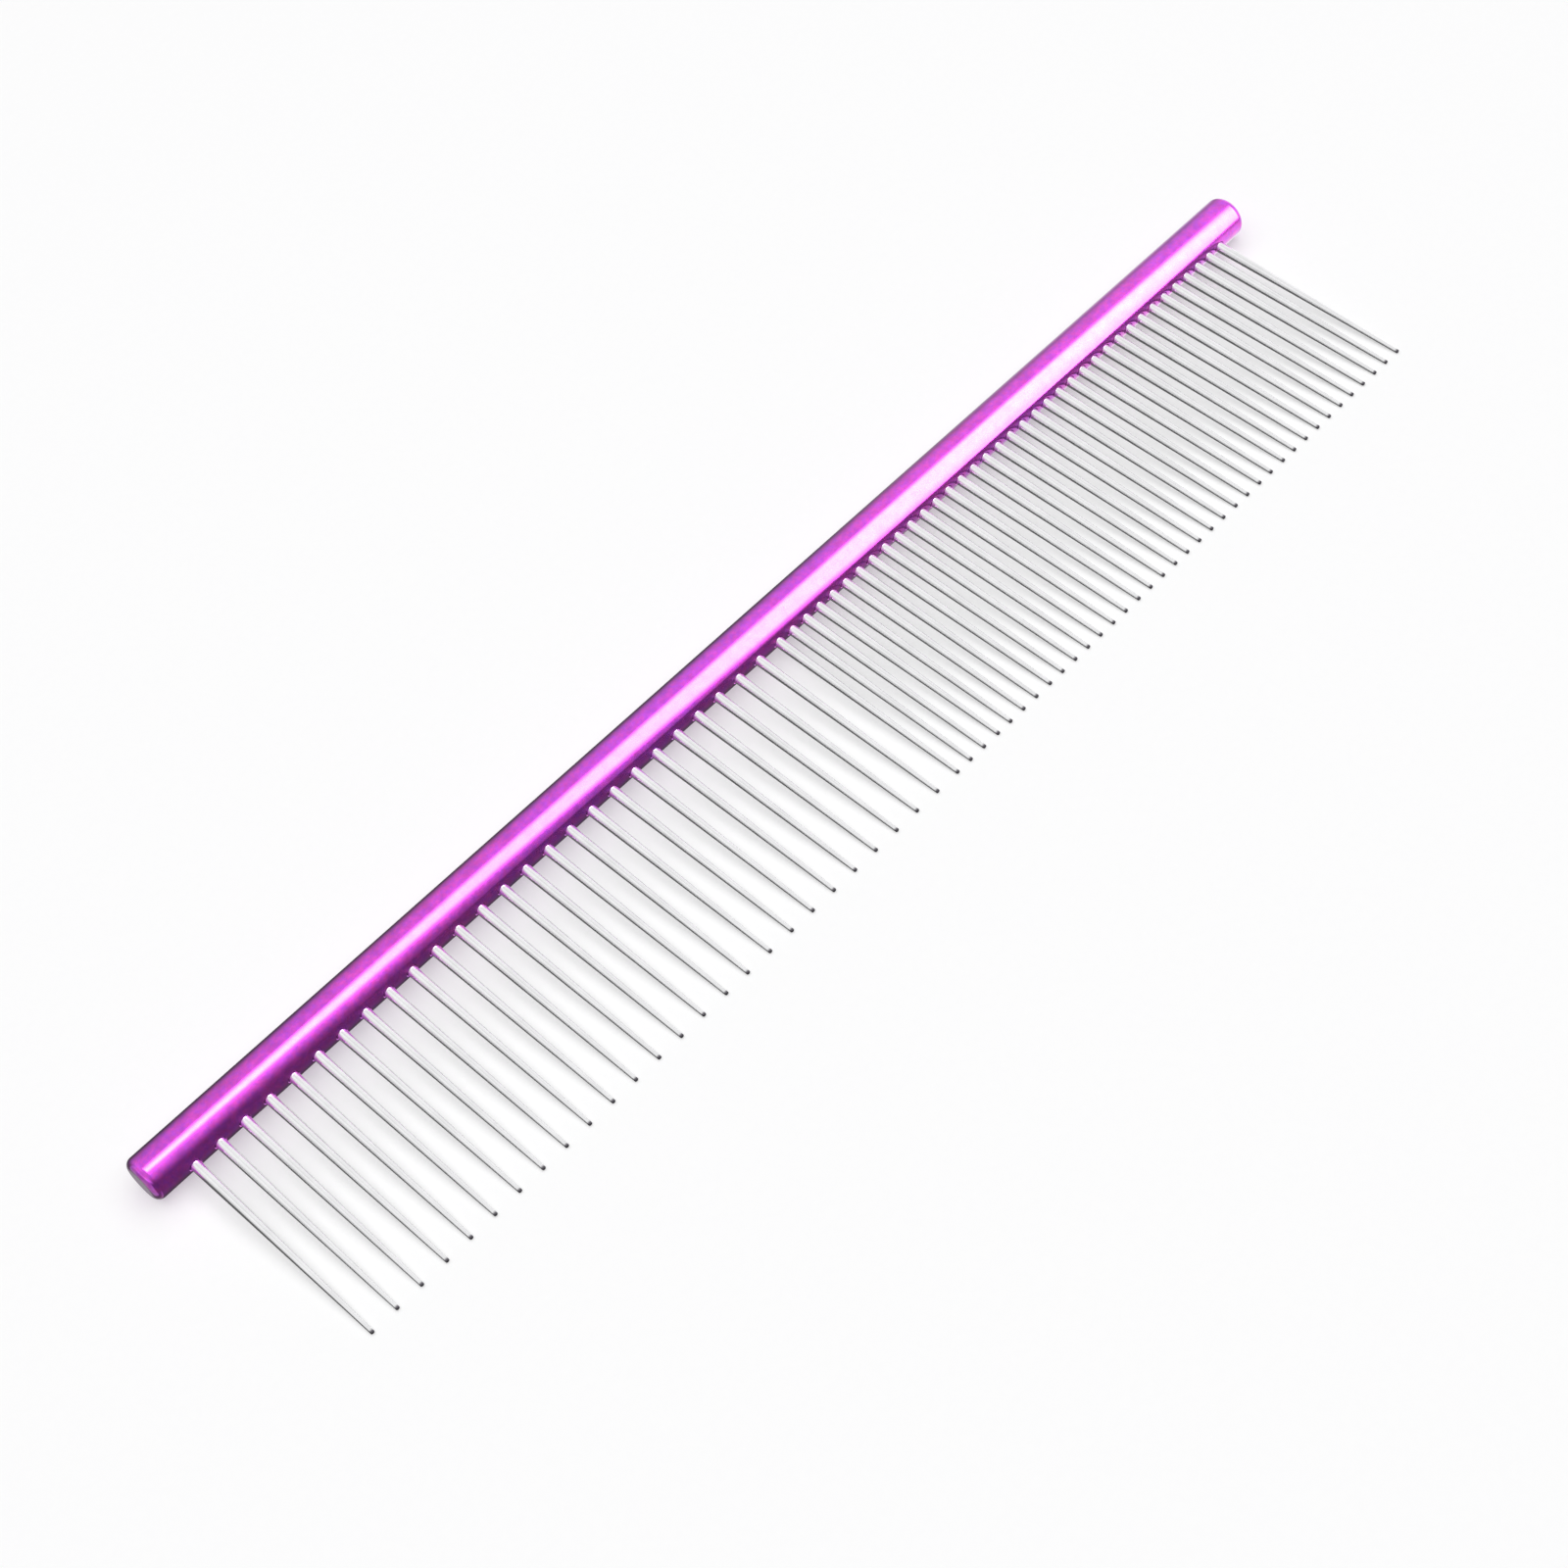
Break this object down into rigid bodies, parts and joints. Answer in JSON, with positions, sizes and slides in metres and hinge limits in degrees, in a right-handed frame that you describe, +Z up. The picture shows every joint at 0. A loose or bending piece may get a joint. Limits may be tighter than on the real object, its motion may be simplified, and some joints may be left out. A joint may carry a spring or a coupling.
{
  "type": "grooming comb",
  "caption": "Straight pet grooming comb: a round purple anodised spine holding a row of tapered steel pins, widely spaced at one end and closely at the other.",
  "frame": {"origin": "on the surface that the comb lies on, under the centre of its bounding box", "axes": "+X along the spine from the coarse end to the fine end, -Y the way the pins point, +Z up from the surface; the comb lies on the underside of its spine and on the pin tips, so the plane of the pins slopes down by 4.8 degrees towards the tips"},
  "size_m": [0.191, 0.0348, 0.0058],
  "materials": {
    "anodised_spine": "glossy purple anodised",
    "steel_pins": "polished"
  },
  "bodies": {
    "root": {"spine": "anodised_spine", "coarse_pin_01": "steel_pins", "coarse_pin_02": "steel_pins", "coarse_pin_03": "steel_pins", "coarse_pin_04": "steel_pins", "coarse_pin_05": "steel_pins", "coarse_pin_06": "steel_pins", "coarse_pin_07": "steel_pins", "coarse_pin_08": "steel_pins", "coarse_pin_09": "steel_pins", "coarse_pin_10": "steel_pins", "coarse_pin_11": "steel_pins", "coarse_pin_12": "steel_pins", "coarse_pin_13": "steel_pins", "coarse_pin_14": "steel_pins", "coarse_pin_15": "steel_pins", "coarse_pin_16": "steel_pins", "coarse_pin_17": "steel_pins", "coarse_pin_18": "steel_pins", "coarse_pin_19": "steel_pins", "coarse_pin_20": "steel_pins", "coarse_pin_21": "steel_pins", "coarse_pin_22": "steel_pins", "coarse_pin_23": "steel_pins", "coarse_pin_24": "steel_pins", "coarse_pin_25": "steel_pins", "coarse_pin_26": "steel_pins", "fine_pin_01": "steel_pins", "fine_pin_02": "steel_pins", "fine_pin_03": "steel_pins", "fine_pin_04": "steel_pins", "fine_pin_05": "steel_pins", "fine_pin_06": "steel_pins", "fine_pin_07": "steel_pins", "fine_pin_08": "steel_pins", "fine_pin_09": "steel_pins", "fine_pin_10": "steel_pins", "fine_pin_11": "steel_pins", "fine_pin_12": "steel_pins", "fine_pin_13": "steel_pins", "fine_pin_14": "steel_pins", "fine_pin_15": "steel_pins", "fine_pin_16": "steel_pins", "fine_pin_17": "steel_pins", "fine_pin_18": "steel_pins", "fine_pin_19": "steel_pins", "fine_pin_20": "steel_pins", "fine_pin_21": "steel_pins", "fine_pin_22": "steel_pins", "fine_pin_23": "steel_pins", "fine_pin_24": "steel_pins", "fine_pin_25": "steel_pins", "fine_pin_26": "steel_pins", "fine_pin_27": "steel_pins", "fine_pin_28": "steel_pins", "fine_pin_29": "steel_pins", "fine_pins_30_31": "steel_pins", "fine_pins_32_33": "steel_pins", "fine_pins_34_35": "steel_pins", "fine_pins_36_37": "steel_pins"}
  },
  "joints": []
}
